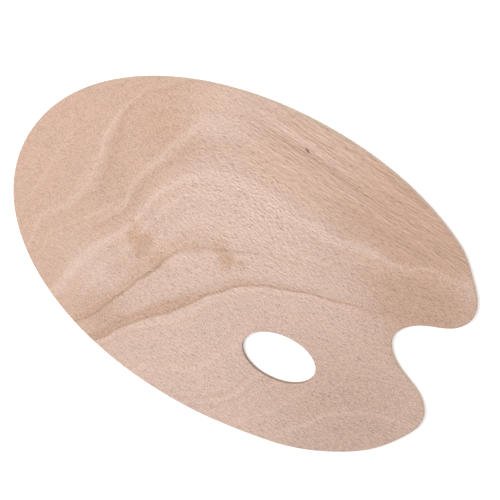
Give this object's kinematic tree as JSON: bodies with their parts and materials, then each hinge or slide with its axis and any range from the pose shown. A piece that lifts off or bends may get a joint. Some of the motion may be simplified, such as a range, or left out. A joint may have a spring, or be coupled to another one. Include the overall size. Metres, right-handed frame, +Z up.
{
  "type": "artist's palette",
  "caption": "Flat oval plywood mixing palette with an oval thumb hole and a rounded finger notch at one end, held in the hand while paint is mixed on its face.",
  "frame": {"origin": "middle of the bounding box on the underside, which is the plane that the palette lies on", "axes": "+X along the oval towards the finger notch, +Y across it away from the thumb hole, +Z up out of the painting face"},
  "size_m": [0.305, 0.228, 0.003],
  "materials": {
    "face_veneer": "raw rotary-cut hardwood veneer, sanded and unsealed, matt, pale pinkish beige, grain along the oval",
    "core_veneer": "raw hardwood core veneer, grain across the oval, seen only as end grain and long grain at the sawn edge",
    "back_veneer": "raw rotary-cut hardwood veneer, sanded and unsealed, matt, grain along the oval",
    "glue": "thin cured resin glue line, brown, matt"
  },
  "bodies": {
    "root": {"face_veneer": "face_veneer", "face_glue_line": "glue", "core_veneer": "core_veneer", "back_glue_line": "glue", "back_veneer": "back_veneer"}
  },
  "joints": []
}
